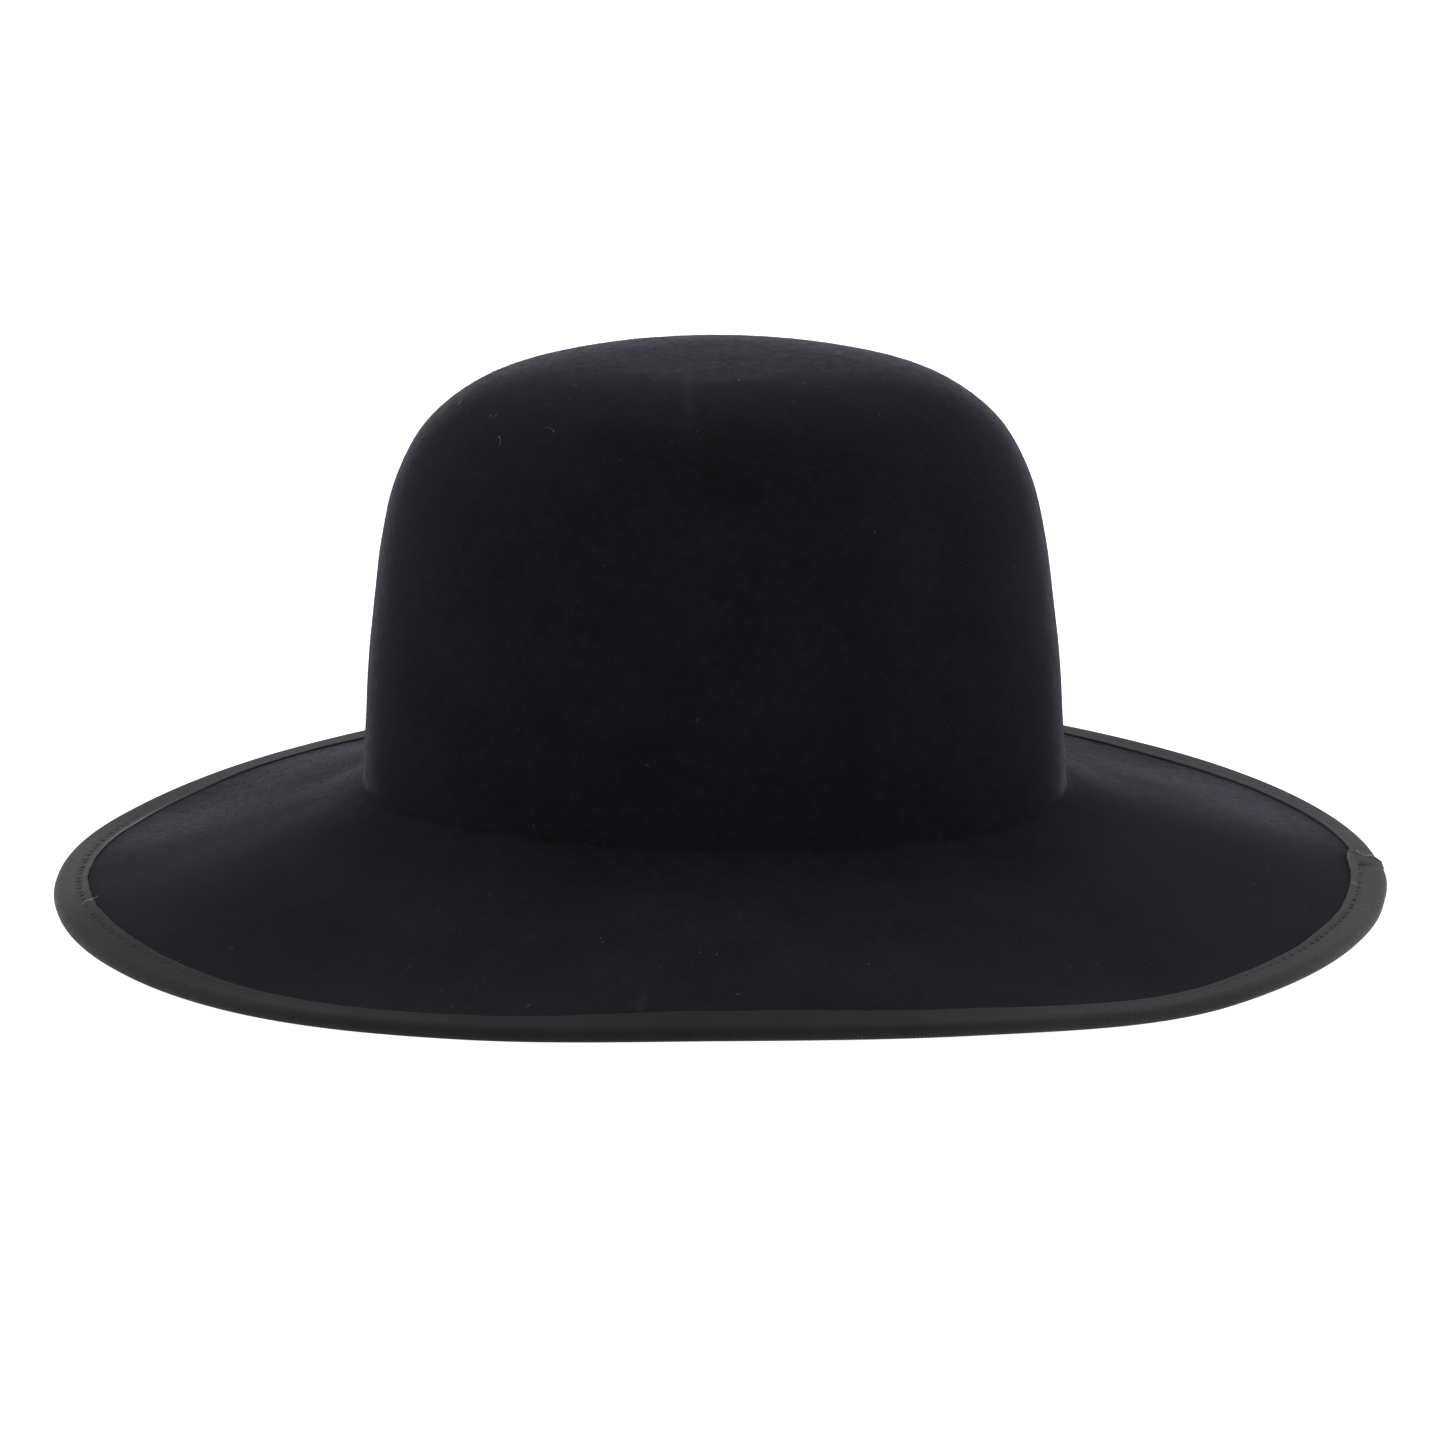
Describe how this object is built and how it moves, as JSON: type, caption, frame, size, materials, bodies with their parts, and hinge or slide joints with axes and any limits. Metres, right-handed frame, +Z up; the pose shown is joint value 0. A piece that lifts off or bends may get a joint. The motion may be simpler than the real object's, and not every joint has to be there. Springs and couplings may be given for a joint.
{
  "type": "felt hat",
  "caption": "Wide-brimmed felt hat with an open rounded crown, a gently down-turned brim and a grosgrain ribbon bound over the brim's edge.",
  "frame": {"origin": "centre of the hat's footprint, on the surface that its brim rests on", "axes": "+Z up through the crown, -X towards the front of the hat, +X towards the back, -Y towards the wearer's left"},
  "size_m": [0.384, 0.361, 0.1566],
  "materials": {
    "felt": "short brushed nap, matte",
    "grosgrain": "ribbed ribbon with a low sheen"
  },
  "bodies": {
    "root": {"felt_body": "felt", "brim_binding": "grosgrain"}
  },
  "joints": []
}
